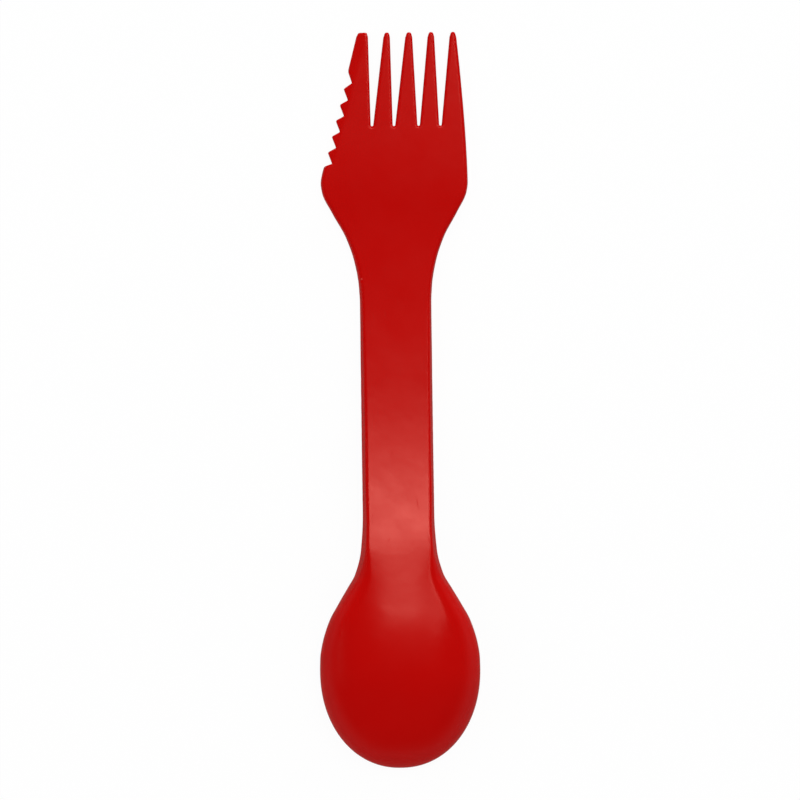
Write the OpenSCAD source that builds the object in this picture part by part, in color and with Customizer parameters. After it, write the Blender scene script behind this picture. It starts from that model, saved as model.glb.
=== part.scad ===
// Spork: one plastic moulding with a spoon bowl at one end and, at the other, a fork
// whose first prong is a serrated knife edge. It lies face down, as it is shown: the
// hollow side is below, +Z is up, +Y points to the tines and z = 0 is the table.

/* [Whole spork] */
// Length from the tip of the bowl to the ends of the tines
total_len = 170; // [150:1:190]
// Height of the back of the bowl above the table
belly_h = 14; // [12:0.5:18]
// Thickness of the plastic in the bowl, the handle and the fork head
wall = 1.6; // [1.2:0.1:2]

/* [Bowl] */
// Width of the bowl at its widest place
bowl_w = 37; // [32:0.5:42]
// Distance from the tip of the bowl to its widest place
bowl_front = 22.7; // [19:0.1:27]
// Distance from the widest place of the bowl to the start of the handle
bowl_neck = 36; // [30:0.5:40]
// Length of the flat seat on the rim, at the tip of the bowl
seat_len = 7; // [4:0.5:10]
// Height of the rim above the table at the widest place
rim_h = 2.1; // [1.5:0.1:3.5]
// Radius that the corners of the handle's back grow to, where it runs into the bowl
neck_r = 5; // [3:0.5:6]
// How far the back of the neck lies below an even rise to the bowl
neck_dip = 0.3; // [0:0.05:0.7]

/* [Handle] */
// Width over the lower edges of the handle
handle_w = 16.5; // [14:0.1:19]
// Depth of the side walls of the handle
side_h = 5; // [4.5:0.1:5.4]
// Depth of the side walls where the handle meets the fork head
side_fork_h = 3.4; // [3:0.1:3.6]
// Radius of the outer corners along the back of the handle
corner_r = 0.5; // [0.3:0.1:0.9]
// Radius of the inner corners under the handle
inner_r = 0.5; // [0.3:0.1:0.9]
// Lean of the side walls, in degrees from upright
draft = 10; // [5:1:14]

/* [Fork head] */
// Width of the fork head at its widest place
head_w = 34; // [30:0.5:38]
// Height of the back of the fork head above the table
crest_h = 3; // [2.8:0.1:3.8]
// Distance from the ends of the tines to the widest place of the head
head_front = 34.7; // [31:0.1:37]
// Distance from the widest place of the head to the start of the handle
head_neck = 28; // [24:0.5:32]
// Thickness of the head at its widest place, over its edges
head_t = 2.4; // [2.2:0.1:2.8]
// Drop of the back of the head from the middle to the edges
head_crown = 0.35; // [0.1:0.05:0.5]

/* [Tines] */
// Length of the slots between the tines
slot_len = 21.7; // [18:0.1:24]
// Width of a slot at the ends of the tines
slot_tip_w = 3.7; // [3.4:0.05:3.9]
// Width of a slot at its round end
slot_root_w = 0.6; // [0.5:0.05:1]
// Thickness of the tines at the round ends of the slots
tine_t = 2; // [1.7:0.1:2.2]
// Thickness of the tines at their ends
tip_t = 1.4; // [1.1:0.1:1.6]
// Distance from the middle of the fork to its right edge, at the tine ends
fork_tip_r = 14.65; // [14:0.05:15.2]

/* [Knife edge] */
// Distance from the middle of the fork to the outer corner of the knife prong's end
knife_end_r = 8.15; // [7.8:0.05:8.5]
// Distance from the prong's end to the first tooth
knife_front = 8.9; // [8:0.1:10]
// Distance from the middle of the fork to the first tooth
first_tooth_r = 10.4; // [10:0.1:10.8]
// Distance between teeth, along the fork
tooth_pitch = 3.66; // [3.3:0.02:3.8]
// Step of each tooth away from the middle of the fork
tooth_step = 0.96; // [0.85:0.01:1]
// Extra length of the first notch, which moves the inner teeth back
notch_lead = 0.4; // [0:0.05:0.5]
// Depth of the notches, measured towards the middle of the fork
notch_depth = 0.88; // [0.6:0.02:1.1]
// Number of notches
notch_count = 6; // [4:1:6]
// Radius of the two corners on the end of the knife prong
prong_r = 0.6; // [0.3:0.1:0.9]
// Width of the sloping face along the teeth
bevel_w = 2.2; // [1.4:0.1:2.8]
// Drop of the sloping face at the teeth
bevel_drop = 0.7; // [0.3:0.1:0.9]

/* [Hidden] */

// Facets round a whole circle, and overrun of every cut
$fn = 48;
over = 1;

// Points of a section, from the rim to the middle of the back
flank_n = 3;
arc_n = 4;
web_n = 5;
half_n = flank_n + arc_n + web_n;

// Rings: tip of the bowl, its neck, handle, shoulder, knife edge and each end of the fork
front_n = 13;
neck_n = 14;
handle_n = 7;
shoulder_n = 10;
knife_n = 5;
fork_n = 2;

// Places along the spork
y_tip = total_len / 2;
y_root = y_tip - slot_len;
y_head = y_tip - head_front;
y_grip = y_head - head_neck;
y_end = -total_len / 2;
y_belly = y_end + bowl_front;
y_neck = y_belly + bowl_neck;
y_corner = y_tip - knife_front;
y_shoulder = y_corner - notch_count * tooth_pitch;
// The back of the head stops rising at this share of the way from its widest place to the handle
crest_share = 0.2;
y_crest = y_head - crest_share * head_neck;
// The hollow under the head ends at this share of the way from the widest place to the slots
hollow_share = 0.5;
y_hollow = y_head + hollow_share * (y_root - y_head);

// Powers that shape the rise to the bowl, the tip of the bowl, its section and the fork's edges
rise_power = 8;
front_power = 2.1;
dome_power = 2.8;
edge_power = 1.5;
// The back is rounded over this share of its fall to the tines, then straight
fall_round_share = 0.25;
// Last angle of the rings that close the tip of the bowl
last_angle = 88;
// The handle's box section turns into the bowl's dome between these shares of the neck
dome_shares = [0.21, 1];
// The corners grow to the radius of the neck, and the neck's back dips, between these shares of it
round_shares = [0.15, 0.6];
dip_shares = [0.09, 0.6];
// Largest corner radius, as a share of the depth of the section or of the hollow
corner_share = 0.55;
// Depth left where the hollow fades out, as a share
fade_share = 0.1;
// Height of the rim half way along the neck of the bowl, times its height at the widest place
rim_rise = 2;
// Two places between the bowl and the head that hold the depth of the sides
bend_shares = [0.35, 0.7];
// Where a notch is deepest, as a share of the pitch
notch_share = 0.75;

// Half widths from the bowl to the handle: [place along the neck, share of the change]
neck_shares = [[0, 1], [0.08, 0.993], [0.16, 0.953], [0.31, 0.795], [0.43, 0.571],
    [0.53, 0.362], [0.62, 0.184], [0.77, 0.05], [1, 0]];
// Half widths from the head to the handle
shoulder_shares = [[0, 1], [0.08, 0.966], [0.25, 0.703], [0.45, 0.353], [0.65, 0.136],
    [0.85, 0.025], [1, 0]];
// Middles of the slots, as shares of half the head, at the round ends and at the tine ends
slot_root_shares = [-0.294, 0.005, 0.34, 0.636];
slot_tip_shares = [-0.226, 0.072, 0.374, 0.673];

// Value between a and b
function mix(a, b, t) = a + (b - a) * t;
function clamp01(t) = max(0, min(1, t));
function ease(t) = let(s = clamp01(t)) s * s * (3 - 2 * s);

// Smooth curve through points [x, value] with rising x, with no overshoot between them
function chord(p, i) = (p[i + 1][1] - p[i][1]) / (p[i + 1][0] - p[i][0]);
function slope(p, i) = i == 0 || i == len(p) - 1 ? 0 :
    let(a = chord(p, i - 1), b = chord(p, i)) a * b <= 0 ? 0 : 2 * a * b / (a + b);
function span(p, x, i = 0) = i >= len(p) - 2 || x < p[i + 1][0] ? i : span(p, x, i + 1);
function curve(p, x) = let(
    i = span(p, x),
    w = p[i + 1][0] - p[i][0],
    t = clamp01((x - p[i][0]) / w),
    keep = t * t * (3 - 2 * t))
    mix(p[i][1], p[i + 1][1], keep)
    + w * slope(p, i) * t * (1 - t) * (1 - t)
    - w * slope(p, i + 1) * t * t * (1 - t);

// Share of the bowl's size that is left at a place in front of its widest place. It stops
// short of zero, so that the last ring is a very small one.
function front_share(y) = let(t = sin(last_angle) * clamp01((y_belly - y) / bowl_front))
    pow(1 - pow(t, front_power), 1 / front_power);

// Share of the rise from the head to the bowl. The slope grows evenly along the handle and
// dies away over the neck of the bowl.
function rise(t) = ((rise_power + 2) * t * t - 2 * pow(t, rise_power + 2)) / rise_power;

// Share of the fall from the crest of the head to the tine ends
function fall(t) = let(c = fall_round_share) (norm([t, c]) - c) / (norm([1, c]) - c);

// Eases from 0 to 1 along the neck, towards the bowl, between two shares of its length
function along_neck(y, shares) = ease(((y_neck - y) / bowl_neck - shares[0]) / (shares[1] - shares[0]));

// Height of the back, along the middle
function back_z(y) =
    y < y_belly ? belly_h * front_share(y) :
    y < y_crest ?
        mix(crest_h, belly_h + neck_dip, rise((y_crest - y) / (y_crest - y_belly)))
        - neck_dip * along_neck(y, dip_shares) :
    mix(crest_h, tip_t, fall((y - y_crest) / (y_tip - y_crest)));

// Height of the rim and of the lower edges, never under the table
rim_line = [[y_end, 0], [y_end + seat_len, 0], [y_belly, rim_h],
    [(y_belly + y_neck) / 2, rim_rise * rim_h],
    [y_neck, back_z(y_neck) - side_h],
    for (k = bend_shares)
        let(y = mix(y_neck, y_grip, k)) [y, back_z(y) - mix(side_h, side_fork_h, k * k)],
    [y_grip, back_z(y_grip) - side_fork_h],
    [y_head, back_z(y_head) - head_t],
    [y_root, back_z(y_root) - tine_t],
    [y_tip, 0]];
function rim_z(y) = max(0, curve(rim_line, y));

// Half width on the right: bowl, handle and fork
function right_x(y) =
    y < y_belly ? bowl_w / 2 * front_share(y) :
    y < y_neck ? mix(handle_w / 2, bowl_w / 2, curve(neck_shares, (y - y_belly) / bowl_neck)) :
    y < y_grip ? handle_w / 2 :
    y < y_head ? mix(handle_w / 2, head_w / 2, curve(shoulder_shares, (y_head - y) / head_neck)) :
    head_w / 2 - (head_w / 2 - fork_tip_r) * pow((y - y_head) / head_front, edge_power);

// Half width on the left, where the fork carries the knife edge
last_tooth_r = first_tooth_r + notch_count * tooth_step;
function left_x(y) =
    y < y_head ? right_x(y) :
    y < y_shoulder ? mix(head_w / 2, last_tooth_r, pow((y - y_head) / (y_shoulder - y_head), edge_power)) :
    y < y_corner ? mix(first_tooth_r, last_tooth_r, (y_corner - y) / (y_corner - y_shoulder)) :
    mix(first_tooth_r, knife_end_r, (y - y_corner) / knife_front);

// How far a section has turned from the handle's box into the bowl's dome
function dome_mix(y) = along_neck(y, dome_shares);
// Radius of the outer corners, which grows along the neck, and of the corners under the back
function outer_r(y) = mix(corner_r, neck_r, along_neck(y, round_shares));
function under_r(y) = max(inner_r, outer_r(y) - wall);
// Crown of the fork, which fades out along the shoulder
function crown(y) = head_crown * ease((y - y_grip) / head_neck);

// Half a box section from its lower edge to the middle: straight side, round corner, flat back
function box_half(w, h, r) = let(
    a = draft,
    xc = w - (h - r) * tan(a) - r / cos(a))
    [
        for (i = [0 : flank_n - 1])
            [mix(w, xc + r * cos(a), i / flank_n), mix(0, h - r + r * sin(a), i / flank_n)],
        for (i = [0 : arc_n])
            let(b = mix(a, 90, i / arc_n)) [xc + r * cos(b), h - r + r * sin(b)],
        for (i = [1 : web_n])
            [mix(xc, 0, i / web_n), h]
    ];

// Half a dome section with the same number of points
function dome_half(w, h) = [
    for (i = [0 : half_n])
        let(b = 90 * i / half_n)
        [w * pow(max(0, cos(b)), 2 / dome_power), h * pow(sin(b), 2 / dome_power)]];

function half(w, h, r, k) = let(a = box_half(w, h, r), b = dome_half(w, h))
    [for (i = [0 : half_n]) mix(a[i], b[i], k)];

// A whole section: left rim, over the back, right rim
function section(wl, wr, h, r, k) = let(a = half(wl, h, r, k), b = half(wr, h, r, k))
    concat(
        [for (i = [0 : half_n]) [-a[i][0], a[i][1]]],
        [for (i = [half_n - 1 : -1 : 0]) b[i]]);

// Lowers the back towards the edges
function crowned(p, w, h, drop) = [
    for (q = p) [q[0], q[1] - drop * pow(q[0] / w, 2) * q[1] / h]];

// Lifts a section to its height at y
function ring(p, y, z) = [for (q = p) [q[0], y, z + q[1]]];

// Places of the rings, closest where the shape turns fastest
front_places = [
    for (i = [0 : front_n - 1])
        let(a = last_angle * (1 - pow(i / front_n, edge_power)))
        y_belly - bowl_front * sin(a) / sin(last_angle)];
function places(a, b, n) = [for (i = [0 : n - 1]) mix(a, b, i / n)];
neck_places = places(y_belly, y_neck, neck_n);
handle_places = places(y_neck, y_grip, handle_n);
shoulder_places = places(y_grip, y_head, shoulder_n);
fork_places = concat(
    places(y_head, y_shoulder, fork_n),
    places(y_shoulder, y_corner, knife_n),
    places(y_corner, y_tip, fork_n),
    [y_tip]);

// Closed skin over rings that all have the same number of points
module loft(rings) {
    n = len(rings[0]);
    last = len(rings) - 1;
    points = [for (r = rings) each r];
    sides = [
        for (j = [0 : last - 1], i = [0 : n - 1])
            let(a = j * n + i, b = j * n + (i + 1) % n)
            each [[a, b + n, b], [a, a + n, b + n]]];
    first_cap = [for (i = [0 : n - 1]) i];
    last_cap = [for (i = [n - 1 : -1 : 0]) last * n + i];
    polyhedron(points, concat(sides, [first_cap, last_cap]), convexity = 8);
}

// The outer form, still solid
function body_ring(y) = let(
    z = rim_z(y),
    h = back_z(y) - z,
    wl = left_x(y),
    wr = right_x(y),
    r = min(outer_r(y), corner_share * h),
    p = section(wl, wr, h, r, dome_mix(y)))
    ring(crowned(p, max(wl, wr), h, crown(y)), y, z);

module body() {
    loft([
        for (y = concat(front_places, neck_places, handle_places, shoulder_places, fork_places))
            body_ring(y)]);
}

// The space under the bowl, the handle and the head, one wall inside the outer form
function hollow_ring(y) = let(
    inside = y < y_belly ? y_belly - (y_belly - y) * (bowl_front - wall) / bowl_front : y,
    k = y < y_belly ? front_share(y) : 1,
    z = rim_z(y),
    fade = mix(1, fade_share, ease((y - y_grip) / (y_hollow - y_grip))),
    depth = back_z(y) - z,
    h = y < y_belly ? (belly_h - wall) * k - z : max(depth - wall, fade_share * depth) * fade,
    wl = y < y_belly ? (bowl_w / 2 - wall) * k : left_x(y) - wall,
    wr = y < y_belly ? wl : right_x(y) - wall,
    r = min(under_r(y), corner_share * h),
    p = section(wl, wr, h, r, dome_mix(y)),
    back = crowned(p, max(wl, wr), h, min(crown(y), h) * fade))
    ring(concat([[-wl, -over]], back, [[wr, -over]]), inside, z);

hollow_places = concat(front_places, neck_places, handle_places, shoulder_places,
    places(y_head, y_hollow, fork_n), [y_hollow]);

module hollow() {
    loft([for (y = hollow_places) hollow_ring(y)]);
}

// Middle of a slot, at its round end and at the tine ends
function slot_root_x(i) = slot_root_shares[i] * head_w / 2;
function slot_tip_x(i) = slot_tip_shares[i] * head_w / 2;
slot_n = len(slot_tip_shares);

// One tapering slot with a round end, cut right through
module slot(i) {
    r = slot_root_w / 2;
    xr = slot_root_x(i);
    xt = slot_tip_x(i);
    w = slot_tip_w / 2;
    translate([0, 0, -over])
        linear_extrude(height = belly_h + 2 * over) {
            translate([xr, y_root + r])
                circle(r);
            polygon([
                [xr - r, y_root + r], [xr + r, y_root + r],
                [xt + w, y_tip], [xt + w, y_tip + over],
                [xt - w, y_tip + over], [xt - w, y_tip]]);
        }
}

// Removes what lies outside the round end of a tine whose end spans x0 to x1
module tip_trim(x0, x1) {
    mid = (x0 + x1) / 2;
    w = (x1 - x0) / 2;
    root_w = (head_w / 2 * (slot_root_shares[2] - slot_root_shares[1]) - slot_root_w) / 2;
    widening = (root_w - w) / slot_len;
    r = w / (1 - widening);
    translate([0, 0, -over])
        linear_extrude(height = belly_h + 2 * over)
            difference() {
                translate([mid - r - over / 2, y_tip - r])
                    square([2 * r + over, r + over]);
                translate([mid, y_tip - r])
                    circle(r);
            }
}

// Removes one corner of the knife prong's end; side is -1 on the left, 1 on the right
module prong_trim(x, side) {
    translate([0, 0, -over])
        linear_extrude(height = belly_h + 2 * over)
            difference() {
                translate([side > 0 ? x - prong_r : x - over, y_tip - prong_r])
                    square([prong_r + over, prong_r + over]);
                translate([x - side * prong_r, y_tip - prong_r])
                    circle(prong_r);
            }
}

module tip_trims() {
    for (i = [0 : slot_n - 2])
        tip_trim(slot_tip_x(i) + slot_tip_w / 2, slot_tip_x(i + 1) - slot_tip_w / 2);
    tip_trim(slot_tip_x(slot_n - 1) + slot_tip_w / 2, fork_tip_r);
    prong_trim(-knife_end_r, -1);
    prong_trim(slot_tip_x(0) - slot_tip_w / 2, 1);
}

// Point of a tooth, on the straight line between the first and the last
function tooth(i) = let(
    back = i > 0 && i < notch_count ? notch_lead : 0,
    y = y_corner - i * tooth_pitch - back)
    [-left_x(y), y];

// Deepest point of a notch
function notch(i) = [
    notch_depth - first_tooth_r - i * tooth_step,
    y_corner - (i + notch_share) * tooth_pitch - (i > 0 ? notch_share * notch_lead : 0)];

// The notches of the knife edge, each from one tooth to the next
module knife_notches() {
    translate([0, 0, -over])
        linear_extrude(height = belly_h + 2 * over)
            for (i = [0 : notch_count - 1])
                polygon([
                    tooth(i),
                    notch(i),
                    tooth(i + 1),
                    tooth(i + 1) - [over, 0],
                    tooth(i) - [over, 0]]);
}

// The sloping face along the teeth, cut from above
function bevel_ring(y) = let(x = -left_x(min(y, y_tip)), z = back_z(min(y, y_tip))) [
    [x + bevel_w, y, z],
    [x - over, y, z - bevel_drop * (1 + over / bevel_w)],
    [x - over, y, z + over],
    [x + bevel_w, y, z + over]];

module knife_bevel() {
    loft([
        for (y = concat(places(y_shoulder, y_corner, fork_n), [y_corner, y_tip + over]))
            bevel_ring(y)]);
}

module spork_body() {
    color("crimson")
        difference() {
            body();
            hollow();
            for (i = [0 : slot_n - 1])
                slot(i);
            tip_trims();
            knife_notches();
            knife_bevel();
        }
}

spork_body();
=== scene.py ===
import math

import bpy
import numpy as np
from mathutils import Matrix, Vector


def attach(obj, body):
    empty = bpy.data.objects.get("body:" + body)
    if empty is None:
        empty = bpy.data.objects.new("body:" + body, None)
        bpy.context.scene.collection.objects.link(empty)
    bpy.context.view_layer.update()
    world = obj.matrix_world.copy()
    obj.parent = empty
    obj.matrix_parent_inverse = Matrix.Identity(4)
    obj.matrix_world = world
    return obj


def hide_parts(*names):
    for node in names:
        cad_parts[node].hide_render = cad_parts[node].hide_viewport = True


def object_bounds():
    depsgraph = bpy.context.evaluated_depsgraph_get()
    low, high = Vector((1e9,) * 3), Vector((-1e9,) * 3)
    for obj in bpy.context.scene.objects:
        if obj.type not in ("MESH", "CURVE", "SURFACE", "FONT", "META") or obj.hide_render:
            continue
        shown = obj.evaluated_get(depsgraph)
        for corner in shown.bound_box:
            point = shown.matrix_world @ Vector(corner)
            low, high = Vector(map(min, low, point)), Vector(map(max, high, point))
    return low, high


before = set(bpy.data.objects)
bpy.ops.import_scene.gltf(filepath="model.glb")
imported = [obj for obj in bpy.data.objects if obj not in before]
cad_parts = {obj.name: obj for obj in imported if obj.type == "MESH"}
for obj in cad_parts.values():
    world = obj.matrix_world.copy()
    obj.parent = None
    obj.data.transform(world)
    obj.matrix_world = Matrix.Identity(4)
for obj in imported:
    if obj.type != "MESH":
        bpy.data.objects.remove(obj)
cad_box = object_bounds()

MM = 0.001

# Whole spork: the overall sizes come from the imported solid, the others are those of its source
BOWL_W, LENGTH, BELLY_H = [round((high - low) / MM, 2) for low, high in zip(*cad_box)]
WALL = 1.6  # thickness of the plastic in the bowl, the handle and the fork head

# Bowl
BOWL_FRONT = 22.7  # tip to widest place
BOWL_NECK = 36.0  # widest place to handle
SEAT = 7.0  # length of the flat seat on the rim, at the tip
RIM_H = 2.1  # height of the rim at the widest place
RIM_RISE = 2  # height of the rim half way along the neck, times its height at the widest place
NECK_R = 5.0  # radius that the handle's corners grow to, along the neck
NECK_DIP = 0.3  # how far the neck lies below an even rise to the bowl

# Handle
HANDLE_W = 16.5  # width over the lower edges
SIDE_H = 5.0  # depth of the sides
SIDE_FORK_H = 3.4  # depth of the sides where the handle meets the fork head
CORNER_R = 0.5  # radius of the outer corners
INNER_R = 0.5  # radius of the inner corners
DRAFT = math.radians(10)  # lean of the sides from upright

# Fork head
HEAD_W = 34.0  # width at the widest place
CREST_H = 3.0  # height of the back
HEAD_FRONT = 34.7  # tine ends to widest place
HEAD_NECK = 28.0  # widest place to handle
HEAD_T = 2.4  # thickness at the widest place
HEAD_CROWN = 0.35  # drop of the back from the middle to the edges
HOLLOW_FADE = 0.7  # share of the hollow's height that is lost along the shoulder
HOLLOW_SINK = 0.45  # drop that closes the hollow before the slots

# Tines
SLOT_LEN = 21.7
SLOT_TIP_W = 3.7  # width of a slot at the tine ends
SLOT_ROOT_W = 0.6  # width of a slot at its round end
TINE_T = 2.0  # thickness at the round ends of the slots
TIP_T = 1.4  # thickness at the tine ends
FORK_TIP_R = 14.65  # middle to right edge, at the tine ends
TIP_ZONE = 3.0  # length in which the round ends of the tines lie

# Knife edge
KNIFE_END_R = 8.15  # middle to outer corner of the prong's end
KNIFE_FRONT = 8.9  # prong's end to first tooth
FIRST_TOOTH_R = 10.4  # middle to first tooth
TOOTH_PITCH = 3.66  # distance between teeth, along the fork
TOOTH_STEP = 0.96  # step of each tooth away from the middle
NOTCHES = 6
NOTCH_LEAD = 0.4  # extra length of the first notch
NOTCH_DEPTH = 0.88
NOTCH_SHARE = 0.75  # where a notch is deepest, as a share of the pitch
PRONG_R = 0.6  # radius of the two corners on the prong's end
BEVEL_W = 2.2  # width of the sloping face along the teeth
BEVEL_DROP = 0.7  # drop of the sloping face at the teeth
BEVEL_LIFT = 0.6  # keeps the sloping face clear of the back, where there are no teeth
BEVEL_START = 2.0  # length over which the sloping face starts

# Powers and shares that shape the lines
RISE_POWER = 8
FRONT_POWER = 2.1
DOME_POWER = 2.8
EDGE_POWER = 1.5
FALL_ROUND_SHARE = 0.25  # share of the fall to the tines over which the back is rounded
CORNER_SHARE = 0.55  # largest corner radius, as a share of the depth of the section
CREST_SHARE = 0.2  # where the back stops rising, from the head's widest place to the handle
HOLLOW_SHARE = 0.5  # where the hollow ends, from the head's widest place to the slots
BEND_SHARES = (0.35, 0.7)  # places between the bowl and the head that hold the depth of the sides

# Parts of the neck, counted from the handle, along which its section and its back change
DOME_SHARES = (0.21, 1.0)
ROUND_SHARES = (0.15, 0.6)
DIP_SHARES = (0.09, 0.6)

# Radii of the small roundings: rim, prongs and teeth
RIM_R = 0.5
PRONG_EDGE_R = 0.42
TOOTH_EDGE_R = 0.25
# Leaning sides would be drawn in this much by the rounding of their lower edges
SETBACK = RIM_R * ((1 + math.sin(DRAFT)) / math.cos(DRAFT) - 1)

# Places along the spork
Y_TIP = LENGTH / 2
Y_END = -LENGTH / 2
Y_ROOT = Y_TIP - SLOT_LEN
Y_HEAD = Y_TIP - HEAD_FRONT
Y_GRIP = Y_HEAD - HEAD_NECK
Y_BELLY = Y_END + BOWL_FRONT
Y_NECK = Y_BELLY + BOWL_NECK
Y_CORNER = Y_TIP - KNIFE_FRONT
Y_SHOULDER = Y_CORNER - NOTCHES * TOOTH_PITCH
Y_CREST = Y_HEAD - CREST_SHARE * HEAD_NECK
Y_HOLLOW = Y_HEAD + HOLLOW_SHARE * (Y_ROOT - Y_HEAD)
LAST_TOOTH_R = FIRST_TOOTH_R + NOTCHES * TOOTH_STEP

# Half widths: (share of the way to the handle, share of the change in width)
NECK_SHARES = [(0, 1), (0.08, 0.993), (0.16, 0.953), (0.31, 0.795), (0.43, 0.571),
               (0.53, 0.362), (0.62, 0.184), (0.77, 0.05), (1, 0)]
SHOULDER_SHARES = [(0, 1), (0.08, 0.966), (0.25, 0.703), (0.45, 0.353), (0.65, 0.136),
                   (0.85, 0.025), (1, 0)]
# Middles of the slots at their round ends and at the tine ends
SLOT_ROOT_X = [share * HEAD_W / 2 for share in (-0.294, 0.005, 0.34, 0.636)]
SLOT_TIP_X = [share * HEAD_W / 2 for share in (-0.226, 0.072, 0.374, 0.673)]

# Least values, which keep the fields in bounds where the form ends
LEAST_SHARE = 0.02
LEAST_DEPTH = 0.2
LEAST_DOME_H = 0.5
LEAST_CORNER_R = 0.05
# Field value far inside the form
DEEP = -50.0

# Table of the lines: its step, and how far it runs past both ends
TABLE_STEP = 0.05
TABLE_PAST = 2.0

# Grid of the mesh: size of its cells, and how far it reaches beside, below and above the form
CELL_X = 0.34
CELL_Z = 0.32
GRID_BESIDE = 0.7
GRID_BELOW = 0.6
GRID_ABOVE = 1.3
# Length of its cells: (place along the spork, length)
CELLS_Y = [(Y_END - 1, 0.3), (Y_END + 5, 0.42), (Y_END + 23, 0.5), (Y_END + 65, 0.6),
           (Y_TIP - 63, 0.6), (Y_TIP - 39, 0.4), (Y_TIP - 33, 0.3), (Y_TIP + 1, 0.3)]
# Rows of the grid whose field is worked out at once
SLAB = 40
# Distance over which a slope is measured, the least square of a slope, and the longest move of a
# point in one round
SLOPE_STEP = 0.02
LEAST_SLOPE = 0.05
MOST_MOVE = 0.2


# Lines along the spork
def mix(a, b, t):
    return a + (b - a) * t


def ease(t):
    t = np.clip(t, 0, 1)
    return t * t * (3 - 2 * t)


def curve(points, x):
    """Smooth line through points with rising x, without overshoot between them."""
    px, py = np.array(points, float).T
    chord = np.diff(py) / np.diff(px)
    slope = np.zeros(len(px))
    a, b = chord[:-1], chord[1:]
    same = a * b > 0
    slope[1:-1][same] = 2 * a[same] * b[same] / (a[same] + b[same])
    i = np.clip(np.searchsorted(px, x, side="right") - 1, 0, len(px) - 2)
    w = px[i + 1] - px[i]
    t = np.clip((x - px[i]) / w, 0, 1)
    keep = t * t * (3 - 2 * t)
    return (mix(py[i], py[i + 1], keep)
            + w * slope[i] * t * (1 - t) ** 2
            - w * slope[i + 1] * t * t * (1 - t))


def front_share(y):
    """Share of the bowl's size that is left at a place in front of its widest place."""
    t = np.clip((Y_BELLY - y) / BOWL_FRONT, 0, 1)
    return (1 - t ** FRONT_POWER) ** (1 / FRONT_POWER)


def along_neck(y, shares):
    """Eases from 0 to 1 along the neck, towards the bowl, between two shares of its length."""
    return ease(((Y_NECK - y) / BOWL_NECK - shares[0]) / (shares[1] - shares[0]))


def back_z(y):
    """Height of the back, along the middle."""
    t = np.clip((Y_CREST - y) / (Y_CREST - Y_BELLY), 0, 1)
    share = ((RISE_POWER + 2) * t ** 2 - 2 * t ** (RISE_POWER + 2)) / RISE_POWER
    rise = mix(CREST_H, BELLY_H + NECK_DIP, share) - NECK_DIP * along_neck(y, DIP_SHARES)
    t = np.maximum((y - Y_CREST) / (Y_TIP - Y_CREST), 0)
    c = FALL_ROUND_SHARE
    fall = (np.hypot(t, c) - c) / (math.hypot(1, c) - c)
    behind_bowl = np.where(y < Y_CREST, rise, mix(CREST_H, TIP_T, fall))
    return np.where(y < Y_BELLY, BELLY_H * front_share(y), behind_bowl)


def under_back(y, depth):
    """Point of the rim line, so deep below the back."""
    return (y, float(back_z(np.array(y))) - depth)


RIM_LINE = [
    (Y_END, 0),
    (Y_END + SEAT, 0),
    (Y_BELLY, RIM_H),
    ((Y_BELLY + Y_NECK) / 2, RIM_RISE * RIM_H),
    under_back(Y_NECK, SIDE_H),
    *[under_back(mix(Y_NECK, Y_GRIP, k), mix(SIDE_H, SIDE_FORK_H, k * k)) for k in BEND_SHARES],
    under_back(Y_GRIP, SIDE_FORK_H),
    under_back(Y_HEAD, HEAD_T),
    under_back(Y_ROOT, TINE_T),
    (Y_TIP, 0)]


def right_x(y):
    """Half width on the right: bowl, handle and fork. The bowl's front is closed by its dome."""
    neck = mix(HANDLE_W / 2, BOWL_W / 2, curve(NECK_SHARES, (y - Y_BELLY) / BOWL_NECK))
    shoulder = mix(HANDLE_W / 2, HEAD_W / 2, curve(SHOULDER_SHARES, (Y_HEAD - y) / HEAD_NECK))
    t = np.maximum((y - Y_HEAD) / HEAD_FRONT, 0)
    fork = mix(HEAD_W / 2, FORK_TIP_R, t ** EDGE_POWER)
    past_grip = np.where(y < Y_HEAD, shoulder, fork)
    past_neck = np.where(y < Y_GRIP, HANDLE_W / 2, past_grip)
    return np.where(y < Y_BELLY, BOWL_W / 2, np.where(y < Y_NECK, neck, past_neck))


def left_x(y):
    """Half width on the left, where the fork carries the knife edge."""
    t = np.clip((y - Y_HEAD) / (Y_SHOULDER - Y_HEAD), 0, 1)
    shoulder = mix(HEAD_W / 2, LAST_TOOTH_R, t ** EDGE_POWER)
    teeth_line = mix(FIRST_TOOTH_R, LAST_TOOTH_R, (Y_CORNER - y) / (Y_CORNER - Y_SHOULDER))
    prong = mix(FIRST_TOOTH_R, KNIFE_END_R, (y - Y_CORNER) / KNIFE_FRONT)
    knife = np.where(y < Y_CORNER, teeth_line, prong)
    return np.where(y < Y_HEAD, right_x(y), np.where(y < Y_SHOULDER, shoulder, knife))


# Every line is tabled once, and a point's values are read from the tables.
TABLE_Y = np.arange(Y_END - TABLE_PAST, Y_TIP + TABLE_PAST, TABLE_STEP)


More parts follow.
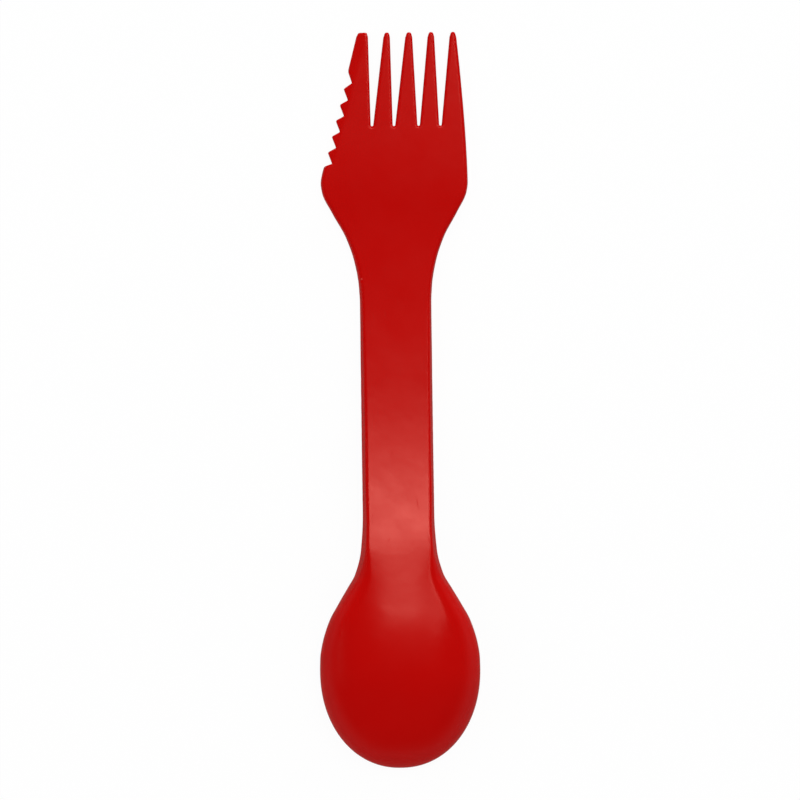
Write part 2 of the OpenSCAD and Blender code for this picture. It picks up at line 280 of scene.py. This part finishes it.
def table_lines():
    y = TABLE_Y
    share = np.maximum(front_share(y), LEAST_SHARE)
    rim = np.maximum(curve(RIM_LINE, y), 0)
    back = back_z(y)
    in_bowl = y < Y_BELLY
    height = np.where(in_bowl, BELLY_H - rim / share, back - rim)
    hollow = height - WALL
    fade = 1 - HOLLOW_FADE * ease((y - Y_GRIP) / (Y_HOLLOW - Y_GRIP))
    sink = HOLLOW_SINK * ease((y - Y_HEAD) / (Y_HOLLOW - Y_HEAD))
    return {
        "front": np.clip((Y_BELLY - y) / BOWL_FRONT, 0, None),
        "rim": rim,
        "back": back,
        "height": np.maximum(height, LEAST_DEPTH),
        "hollow": hollow * fade - sink,
        "right": right_x(y),
        "left": left_x(y),
        "dome": along_neck(y, DOME_SHARES),
        "crown": HEAD_CROWN * ease((y - Y_GRIP) / HEAD_NECK),
        "corner": mix(CORNER_R, NECK_R, along_neck(y, ROUND_SHARES)),
    }


LINES = table_lines()


def line(name, y):
    return np.interp(y, TABLE_Y, LINES[name])


# The form as a field
# Every field is a distance in millimetres: below zero inside, above zero outside.
def both(a, b, r):
    """What is inside a and inside b, with the edge between them rounded to radius r."""
    return np.minimum(-r, np.maximum(a, b)) + np.hypot(np.maximum(a + r, 0), np.maximum(b + r, 0))


def box_section(x, z, w, h, r):
    """Channel section: side at the draft angle, round corner and flat back."""
    lean = math.sin(DRAFT)
    side = (x - w) * math.cos(DRAFT) + z * lean + r
    top = z - h + r
    square = np.maximum(side ** 2 + top ** 2 - 2 * side * top * lean, 0)
    corner = np.sqrt(square) / math.cos(DRAFT)
    return np.where((side > lean * top) & (top > lean * side), corner, np.maximum(side, top)) - r


def dome_section(x, z, front, w, h, reach):
    """Bowl: a dome across and along, which closes at its front."""
    tiny = 1e-6
    across, up = x / w + tiny, np.maximum(z, 0) / h + tiny
    size = (across ** DOME_POWER + up ** DOME_POWER) ** (1 / DOME_POWER)
    whole = (size ** FRONT_POWER + front ** FRONT_POWER) ** (1 / FRONT_POWER)
    inner_slope = (size / whole) ** (FRONT_POWER - 1)
    slope_x = inner_slope * (across / size) ** (DOME_POWER - 1) / w
    slope_z = inner_slope * (up / size) ** (DOME_POWER - 1) / h
    slope_y = ((front + tiny) / whole) ** (FRONT_POWER - 1) / reach
    return (whole - 1) / np.sqrt(slope_x ** 2 + slope_y ** 2 + slope_z ** 2)


def skin(x, y, z, inset):
    """The outer form, or with an inset the hollow below it."""
    z = z - line("rim", y)
    w = np.where(x < 0, line("left", y), line("right", y)) - inset
    x = np.abs(x)
    reach = BOWL_FRONT - inset
    if inset:
        h = line("hollow", y)
        r = np.maximum(line("corner", y) - WALL, INNER_R)
        r = np.minimum(r, np.maximum(CORNER_SHARE * h, LEAST_CORNER_R))
        dome_h = np.maximum(h, LEAST_DOME_H)
        box_w = w
    else:
        h = line("height", y)
        r = np.minimum(line("corner", y), CORNER_SHARE * h)
        dome_h = h
        box_w = w + SETBACK
    front = line("front", y) * BOWL_FRONT / reach
    up = np.clip(z / np.maximum(h, LEAST_DOME_H), 0, 1)
    crowned = z + line("crown", y) * (x / w) ** 2 * up
    box = box_section(x, crowned, box_w, h, r)
    dome = dome_section(x, z, front, w, dome_h, reach)
    return mix(box, dome, line("dome", y))


def beside(x, y, a, b):
    """Distance to the right of the line from a to b, seen from above."""
    dx, dy = b[0] - a[0], b[1] - a[1]
    return ((x - a[0]) * dy - (y - a[1]) * dx) / math.hypot(dx, dy)


def slots(x, y):
    """Outside of the four tapering slots."""
    r = SLOT_ROOT_W / 2
    half = SLOT_TIP_W / 2
    y_round = Y_ROOT + r
    field = np.full(np.broadcast(x, y).shape, DEEP)
    for root_x, tip_x in zip(SLOT_ROOT_X, SLOT_TIP_X):
        right = beside(x, y, (root_x + r, y_round), (tip_x + half, Y_TIP))
        left = -beside(x, y, (root_x - r, y_round), (tip_x - half, Y_TIP))
        end = np.hypot(x - root_x, y - y_round) - r
        gap = np.where(y > y_round, np.maximum(left, right), end)
        field = np.maximum(field, -gap)
    return field


def tips(x, y):
    """Inside of the round ends of the four plain prongs, and of the knife prong's end."""
    half = SLOT_TIP_W / 2
    spans = [(SLOT_TIP_X[i] + half, SLOT_TIP_X[i + 1] - half) for i in range(3)]
    spans.append((SLOT_TIP_X[3] + half, FORK_TIP_R))
    outer = -beside(x, y, (-FIRST_TOOTH_R, Y_CORNER), (-KNIFE_END_R, Y_TIP))
    inner = beside(x, y, (SLOT_ROOT_X[0] - SLOT_ROOT_W / 2, Y_ROOT), (SLOT_TIP_X[0] - half, Y_TIP))
    prong = both(both(outer, inner, PRONG_R), y - Y_TIP, PRONG_R)
    field = prong + np.minimum(y - Y_TIP + PRONG_R, 0)
    root_w = (SLOT_ROOT_X[2] - SLOT_ROOT_X[1] - SLOT_ROOT_W) / 2
    for x0, x1 in spans:
        w = (x1 - x0) / 2
        r = w / (1 - (root_w - w) / SLOT_LEN)
        past = y - Y_TIP + r
        end = np.hypot(x - (x0 + x1) / 2, np.maximum(past, 0)) - r + np.minimum(past, 0)
        field = np.minimum(field, end)
    return field


def tooth(i):
    """Point of a tooth."""
    y = Y_CORNER - i * TOOTH_PITCH - (NOTCH_LEAD if 0 < i < NOTCHES else 0)
    return (-float(left_x(np.array(y))), y)


def notch(i):
    """Deepest point of a notch."""
    lead = NOTCH_SHARE * NOTCH_LEAD if i else 0
    x = NOTCH_DEPTH - FIRST_TOOTH_R - i * TOOTH_STEP
    return (x, Y_CORNER - (i + NOTCH_SHARE) * TOOTH_PITCH - lead)


def teeth(x, y):
    """Outside of the notches along the knife edge."""
    field = np.full(np.broadcast(x, y).shape, DEEP)
    for i in range(NOTCHES):
        upper = beside(x, y, notch(i), tooth(i))
        lower = beside(x, y, tooth(i + 1), notch(i))
        field = np.maximum(field, np.minimum(-upper, -lower))
    return field


def sloping_face(x, y, z):
    """Below the sloping face along the teeth, which starts at the shoulder."""
    inward = x + line("left", y)
    there = ease((y - Y_SHOULDER) / BEVEL_START + 0.5)
    slope = BEVEL_DROP / BEVEL_W
    above = z - line("back", y) - BEVEL_LIFT * (1 - there)
    return (above + slope * there * (BEVEL_W - inward)) / math.hypot(1, slope)


def spork(x, y, z):
    """The whole moulding."""
    solid = both(skin(x, y, z, 0), line("rim", y) - z, RIM_R)
    solid = both(solid, -skin(x, y, z, WALL), RIM_R)
    solid = both(solid, slots(x, y), PRONG_EDGE_R)
    solid = both(solid, np.where(y > Y_TIP - TIP_ZONE, tips(x, y), DEEP), PRONG_EDGE_R)
    solid = both(solid, teeth(x, y), TOOTH_EDGE_R)
    return both(solid, sloping_face(x, y, z), TOOTH_EDGE_R)


# From field to mesh
def grid_lines():
    """Places of the grid, closest along Y where the teeth, the slots and the bowl's tip are."""
    half = BOWL_W / 2 + GRID_BESIDE
    xs = np.arange(-half, half, CELL_X)
    zs = np.arange(-GRID_BELOW, BELLY_H + GRID_ABOVE, CELL_Z)
    places, lengths = np.array(CELLS_Y, float).T
    ys = [places[0]]
    while ys[-1] < places[-1]:
        ys.append(ys[-1] + float(np.interp(ys[-1], places, lengths)))
    return xs, np.array(ys), zs


def surface_net(field, axes):
    """Quads around every grid edge that crosses the surface, with one point in each crossed cell."""
    inside = field < 0
    cells = tuple(n - 1 for n in field.shape)
    total = np.zeros(cells + (3,))
    count = np.zeros(cells)
    crossings = []
    for axis in range(3):
        near = [slice(None)] * 3
        far = [slice(None)] * 3
        near[axis] = slice(None, -1)
        far[axis] = slice(1, None)
        f0, f1 = field[tuple(near)], field[tuple(far)]
        edge = np.argwhere(inside[tuple(near)] != inside[tuple(far)])
        key = tuple(edge.T)
        t = f0[key] / (f0[key] - f1[key])
        place = np.stack([axes[a][edge[:, a]] for a in range(3)], 1)
        place[:, axis] += t * np.diff(axes[axis])[edge[:, axis]]
        u, v = [a for a in range(3) if a != axis]
        ring = []
        for du, dv in ((-1, -1), (0, -1), (0, 0), (-1, 0)):
            cell = edge.copy()
            cell[:, u] += du
            cell[:, v] += dv
            ring.append(cell)
            flat = np.ravel_multi_index(cell.T, cells)
            np.add.at(total.reshape(-1, 3), flat, place)
            np.add.at(count.reshape(-1), flat, 1)
        crossings.append((ring, inside[tuple(near)][key], axis))
    used = np.flatnonzero(count.reshape(-1))
    number = np.full(count.size, -1)
    number[used] = np.arange(len(used))
    points = total.reshape(-1, 3)[used] / count.reshape(-1)[used][:, None]
    quads = []
    for ring, starts_inside, axis in crossings:
        quad = np.stack([number[np.ravel_multi_index(c.T, cells)] for c in ring], 1)
        flip = starts_inside if axis == 1 else ~starts_inside
        quad[flip] = quad[flip][:, ::-1]
        quads.append(quad)
    return points, np.concatenate(quads)


def gradient(p):
    out = np.empty_like(p)
    for a in range(3):
        d = np.zeros(3)
        d[a] = SLOPE_STEP
        out[:, a] = (spork(*(p + d).T) - spork(*(p - d).T)) / (2 * SLOPE_STEP)
    return out


def settle(points, rounds):
    """Moves points onto the surface, by at most MOST_MOVE a round."""
    for _ in range(rounds):
        g = gradient(points)
        move = -spork(*points.T)[:, None] * g / np.maximum((g ** 2).sum(1), LEAST_SLOPE)[:, None]
        far = np.linalg.norm(move, axis=1, keepdims=True)
        points = points + move * np.minimum(1, MOST_MOVE / np.maximum(far, 1e-9))
    return points


def spread(points, quads, rounds):
    """Evens out the points along the surface."""
    ends = np.concatenate([quads[:, [i, (i + 1) % 4]] for i in range(4)])
    a, b = np.concatenate([ends, ends[:, ::-1]]).T
    degree = np.bincount(a, minlength=len(points))[:, None]
    for _ in range(rounds):
        mean = np.stack([np.bincount(a, points[b, k], len(points)) for k in range(3)], 1) / degree
        normal = gradient(points)
        normal /= np.maximum(np.linalg.norm(normal, axis=1, keepdims=True), 1e-9)
        pull = mean - points
        pull -= (pull * normal).sum(1, keepdims=True) * normal
        points = settle(points + 0.5 * pull, 1)
    return points


def build_skin():
    xs, ys, zs = grid_lines()
    field = np.empty((len(xs), len(ys), len(zs)))
    for j in range(0, len(ys), SLAB):
        y = ys[j:j + SLAB]
        field[:, j:j + SLAB] = spork(xs[:, None, None], y[None, :, None], zs[None, None, :])
    points, quads = surface_net(field, (xs, ys, zs))
    points = spread(settle(points, 3), quads, 4)
    points = settle(points, 3)
    points[:, 2] = np.maximum(points[:, 2], 0)
    mesh = bpy.data.meshes.new("spork_skin")
    mesh.from_pydata((points * MM).tolist(), [], quads.tolist())
    mesh.update()
    mesh.shade_smooth()
    obj = bpy.data.objects.new("spork_skin", mesh)
    bpy.context.scene.collection.objects.link(obj)
    return obj


# Nodes
# Sockets of a colour Mix node, which names its inputs alike for every kind of value
MIX_A, MIX_B, MIX_RESULT = 6, 7, 2
# Range of a noise texture that is used, as it seldom goes further
NOISE_LOW, NOISE_HIGH = 0.3, 0.7


def node(tree, kind, inputs=None, **settings):
    n = tree.nodes.new(kind)
    for key, value in settings.items():
        setattr(n, key, value)
    for key, value in (inputs or {}).items():
        if isinstance(value, bpy.types.NodeSocket):
            tree.links.new(value, n.inputs[key])
        else:
            n.inputs[key].default_value = value
    return n


def new_material(name):
    material = bpy.data.materials.new(name)
    material.use_nodes = True
    tree = material.node_tree
    tree.nodes.clear()
    return material, tree, node(tree, "ShaderNodeOutputMaterial")


def noise(tree, place, scale, detail):
    inputs = {"Vector": place, "Scale": scale, "Detail": detail}
    return node(tree, "ShaderNodeTexNoise", inputs).outputs["Fac"]


def remap(tree, value, low, high, to_low, to_high):
    """Value between low and high, turned into one between to_low and to_high."""
    inputs = {"Value": value, "From Min": low, "From Max": high, "To Min": to_low, "To Max": to_high}
    return node(tree, "ShaderNodeMapRange", inputs).outputs["Result"]


def calculate(tree, operation, a, b):
    return node(tree, "ShaderNodeMath", {0: a, 1: b}, operation=operation).outputs[0]


def specks(tree, place, cell, radius, share):
    """Small round specks, in a share of the cells: 1 on a speck and 0 beside it."""
    cells = node(tree, "ShaderNodeTexVoronoi", {"Vector": place, "Scale": 1 / cell})
    near = remap(tree, cells.outputs["Distance"], 0.5 * radius / cell, radius / cell, 1.0, 0.0)
    chosen = node(tree, "ShaderNodeSeparateColor", {"Color": cells.outputs["Color"]}).outputs["Red"]
    return calculate(tree, "MULTIPLY", near, calculate(tree, "LESS_THAN", chosen, share))


def nicks(tree, place, turn, length, width, share):
    """Short straight scratches at one angle: specks of a space that is drawn out along them."""
    turned = {"Vector": place, "Rotation": (0, 0, math.radians(turn)), "Scale": (width, length, length)}
    along = node(tree, "ShaderNodeMapping", turned, vector_type="TEXTURE").outputs["Vector"]
    return specks(tree, along, NICK_CELL, 1, share)


def relief(tree, height, distance, below):
    """A bump of so many metres, on top of the normal below it."""
    inputs = {"Height": height, "Strength": 1.0, "Distance": distance}
    if below:
        inputs["Normal"] = below
    return node(tree, "ShaderNodeBump", inputs).outputs["Normal"]


def blend(tree, share, a, b):
    mixed = node(tree, "ShaderNodeMix", {"Factor": share}, data_type="RGBA")
    for socket, colour in ((mixed.inputs[MIX_A], a), (mixed.inputs[MIX_B], b)):
        if isinstance(colour, bpy.types.NodeSocket):
            tree.links.new(colour, socket)
        else:
            socket.default_value = colour
    return mixed.outputs[MIX_RESULT]


def stain(tree, colour, mark, share, stained):
    """The colour, and on a mark a share of the stained one."""
    return blend(tree, calculate(tree, "MULTIPLY", mark, share), colour, stained)


# Plastic: colours
DEEP_RED = (0.452, 0.0008, 0.0005, 1)
PALE_RED = (0.47, 0.0012, 0.0008, 1)
SPECK_RED = (0.75, 0.12, 0.1, 1)
SCRATCH_RED = (0.34, 0.001, 0.001, 1)
SPECK_STRENGTH = 0.35
SCRATCH_STRENGTH = 0.15
# Plastic: gloss
MIRROR_TINT = (1.0, 0.38, 0.31, 1)
MIRROR_LEVEL = 0.25
PLASTIC_IOR = 1.5
SMOOTHEST, ROUGHEST = 0.19, 0.22
SCRATCH_ROUGHNESS = 0.05
# Plastic: repeats per metre of its blotches, of its uneven polish, and of its waves and grain
BLOTCHES, POLISH, WAVES, GRAIN = 45.0, 160.0, 180.0, 2500.0
FINE_DETAIL, PLAIN_DETAIL = 3.0, 2.0
# Plastic: heights of the relief, in metres
WAVE_H = 0.025 * MM
SCRATCH_H = -0.004 * MM
GRAIN_H = 0.002 * MM
# Plastic: specks and scratches. A scratch's angle is from +Y, and its cell is in scratch sizes.
SPECK_CELL, SPECK_R, SPECK_SHARE = 9 * MM, 0.28 * MM, 0.3
NICK_CELL, NICK_SHARE = 8, 0.4
LONG_NICKS = {"turn": 10, "length": 1.2 * MM, "width": 0.11 * MM, "share": NICK_SHARE}
SHORT_NICKS = {"turn": -22, "length": 0.8 * MM, "width": 0.1 * MM, "share": NICK_SHARE}


def plastic():
    """Red plastic with uneven polish, soft waves, small scratches, fine grain and a few specks."""
    material, tree, out = new_material("moulded_plastic")
    place = node(tree, "ShaderNodeTexCoord").outputs["Object"]
    long_ones = nicks(tree, place, **LONG_NICKS)
    short_ones = nicks(tree, place, **SHORT_NICKS)
    scratch = calculate(tree, "MAXIMUM", long_ones, short_ones)
    speck = specks(tree, place, SPECK_CELL, SPECK_R, SPECK_SHARE)

    blotch = noise(tree, place, BLOTCHES, FINE_DETAIL)
    shade = remap(tree, blotch, NOISE_LOW, NOISE_HIGH, 0.0, 1.0)
    colour = blend(tree, shade, DEEP_RED, PALE_RED)
    colour = stain(tree, colour, speck, SPECK_STRENGTH, SPECK_RED)
    colour = stain(tree, colour, scratch, SCRATCH_STRENGTH, SCRATCH_RED)

    uneven = noise(tree, place, POLISH, FINE_DETAIL)
    polish = remap(tree, uneven, NOISE_LOW, NOISE_HIGH, SMOOTHEST, ROUGHEST)
    rough = calculate(tree, "ADD", polish, calculate(tree, "MULTIPLY", scratch, SCRATCH_ROUGHNESS))

    normal = relief(tree, noise(tree, place, WAVES, FINE_DETAIL), WAVE_H, None)
    normal = relief(tree, scratch, SCRATCH_H, normal)
    normal = relief(tree, noise(tree, place, GRAIN, PLAIN_DETAIL), GRAIN_H, normal)

    shader = node(tree, "ShaderNodeBsdfPrincipled", {
        "Base Color": colour, "Roughness": rough, "Normal": normal, "IOR": PLASTIC_IOR,
        "Specular IOR Level": MIRROR_LEVEL, "Specular Tint": MIRROR_TINT})
    tree.links.new(shader.outputs["BSDF"], out.inputs["Surface"])
    return material


spork_skin = build_skin()
spork_skin.data.materials.append(plastic())
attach(spork_skin, "root")
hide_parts("spork_body")


# Floor and world
FLOOR_HALF = 1.5
FLOOR_COLOUR = (0.9, 0.9, 0.9, 1)
# Share of plain white in the floor. The rest is lit, so that it keeps the spork's shadow.
FLOOR_WHITE_SHARE = 0.95
# Mirror image of the floor: a painted shadow, reddish with painted bounce light from the spork, within
# an oval round the spork, and pale beyond
MIRRORED_PAINTED_SHADOW = (0.35, 0.1, 0.09, 1)
MIRRORED_FAR = (0.3, 0.28, 0.28, 1)
SHADOW_OVAL_HALF_W = 0.05
SHADOW_OVAL_HALF_L = 0.12
SHADOW_OVAL_FADE = (0.7, 1.3)
# World: as a light, and mirrored between the horizon and a dark ceiling
WORLD_LIGHT = 0.65
MIRRORED_HORIZON = 0.3
HORIZON_UP, CEILING_UP = 0.05, 0.45


def plain_rays(tree, ray):
    """1 for the rays that see the floor and the world as plain white."""
    return calculate(tree, "MAXIMUM", ray["Is Camera Ray"], ray["Is Transmission Ray"])


def floor_material():
    """Pale matt floor, near white in the picture. Its mirror image in the plastic is pale too, and
    close beside the object it carries a painted reddish shadow of the spork."""
    material, tree, out = new_material("studio_floor")
    ray = node(tree, "ShaderNodeLightPath").outputs
    matt = node(tree, "ShaderNodeBsdfDiffuse", {"Color": FLOOR_COLOUR})
    white = node(tree, "ShaderNodeEmission", {"Strength": 1.0})
    place = node(tree, "ShaderNodeTexCoord").outputs["Object"]
    # Oval round the spork, inside which the mirrored floor carries its painted shadow
    shadow_oval = {"Vector": place, "Scale": (1 / SHADOW_OVAL_HALF_W, 1 / SHADOW_OVAL_HALF_L, 1)}
    stretched = node(tree, "ShaderNodeMapping", shadow_oval).outputs["Vector"]
    away = node(tree, "ShaderNodeVectorMath", {0: stretched}, operation="LENGTH").outputs["Value"]
    beyond = remap(tree, away, *SHADOW_OVAL_FADE, 0.0, 1.0)
    # Painted shadow with painted red bounce light beside the spork, fading into the plain pale mirror
    # image
    mirrored_shadow_colour = blend(tree, beyond, MIRRORED_PAINTED_SHADOW, MIRRORED_FAR)
    painted_mirror = node(tree, "ShaderNodeEmission", {"Color": mirrored_shadow_colour, "Strength": 1.0})
    share = calculate(tree, "MULTIPLY", plain_rays(tree, ray), FLOOR_WHITE_SHARE)
    seen = node(tree, "ShaderNodeMixShader", {0: share, 1: matt.outputs[0], 2: white.outputs[0]})
    mirrored = ray["Is Glossy Ray"]
    both_ways = node(tree, "ShaderNodeMixShader", {0: mirrored, 1: seen.outputs[0], 2: painted_mirror.outputs[0]})
    tree.links.new(both_ways.outputs[0], out.inputs["Surface"])
    return material


def make_floor():
    half = FLOOR_HALF
    corners = [(-half, -half, 0), (half, -half, 0), (half, half, 0), (-half, half, 0)]
    mesh = bpy.data.meshes.new("studio_floor")
    mesh.from_pydata(corners, [], [(0, 1, 2, 3)])
    mesh.materials.append(floor_material())
    obj = bpy.data.objects.new("studio_floor", mesh)
    bpy.context.scene.collection.objects.link(obj)


def make_world():
    """White round the floor in the picture, a softer white as light. The plastic mirrors it near
    the horizon, below a dark ceiling."""
    world = bpy.data.worlds.new("studio")
    world.use_nodes = True
    tree = world.node_tree
    sky = tree.nodes["Background"]
    sky.inputs["Color"].default_value = (1, 1, 1, 1)
    ray = node(tree, "ShaderNodeLightPath").outputs
    way = node(tree, "ShaderNodeTexCoord").outputs["Generated"]
    up = node(tree, "ShaderNodeSeparateXYZ", {"Vector": way}).outputs["Z"]
    backdrop = remap(tree, up, HORIZON_UP, CEILING_UP, MIRRORED_HORIZON, 0.0)
    light = remap(tree, ray["Is Glossy Ray"], 0.0, 1.0, WORLD_LIGHT, backdrop)
    strength = remap(tree, plain_rays(tree, ray), 0.0, 1.0, light, 1.0)
    tree.links.new(strength, sky.inputs["Strength"])
    bpy.context.scene.world = world


# Lamps and camera
def make_lamp(name, distance, from_top, azimuth, width, height, power):
    """Round or oval lamp, so many degrees down from straight above and round from +X."""
    down, turn = math.radians(from_top), math.radians(azimuth)
    towards = Vector((math.sin(down) * math.cos(turn), math.sin(down) * math.sin(turn), math.cos(down)))
    data = bpy.data.lights.new(name, "AREA")
    data.shape = "ELLIPSE"
    data.size = width
    data.size_y = height
    data.energy = power
    lamp = bpy.data.objects.new(name, data)
    bpy.context.scene.collection.objects.link(lamp)
    lamp.location = towards * distance
    lamp.rotation_euler = (-towards).to_track_quat("-Z", "Y").to_euler()
    return lamp


def make_lamps():
    """The key lamp's mirror image is the highlight on the handle. The others soften the shade."""
    make_lamp("key", distance=4.0, from_top=19.7, azimuth=84, width=0.36, height=0.26, power=16.8)
    make_lamp("side", distance=1.5, from_top=27, azimuth=52, width=0.6, height=0.6, power=4)
    make_lamp("back", distance=1.5, from_top=85, azimuth=75, width=0.6, height=0.6, power=14)
    fill = make_lamp("fill", distance=1.5, from_top=60, azimuth=180, width=0.6, height=0.6, power=2.2)
    fill.visible_glossy = False


CAMERA_DISTANCE = 1.6
CAMERA_AIM = (0.00069, 0.00003, 0.003)
CAMERA_LEAN = math.radians(-1.3)
CAMERA_ROLL = math.radians(-0.676)
VIEW_WIDTH = 0.18463
SENSOR_WIDTH = 36
CLIP_END = 20


def make_camera():
    """Looks down from above, a little from the left, with the picture's slight turn."""
    data = bpy.data.cameras.new("camera")
    data.sensor_width = SENSOR_WIDTH
    data.clip_end = CLIP_END
    data.lens = SENSOR_WIDTH * CAMERA_DISTANCE / VIEW_WIDTH
    camera = bpy.data.objects.new("camera", data)
    bpy.context.scene.collection.objects.link(camera)
    aim = Matrix.Translation(CAMERA_AIM)
    lean = Matrix.Rotation(CAMERA_LEAN, 4, "Y")
    roll = Matrix.Rotation(CAMERA_ROLL, 4, "Z")
    back = Matrix.Translation((0, 0, CAMERA_DISTANCE))
    camera.matrix_world = aim @ lean @ roll @ back
    bpy.context.scene.camera = camera


make_floor()
make_world()
make_lamps()
make_camera()
bpy.context.scene.view_settings.view_transform = "Standard"
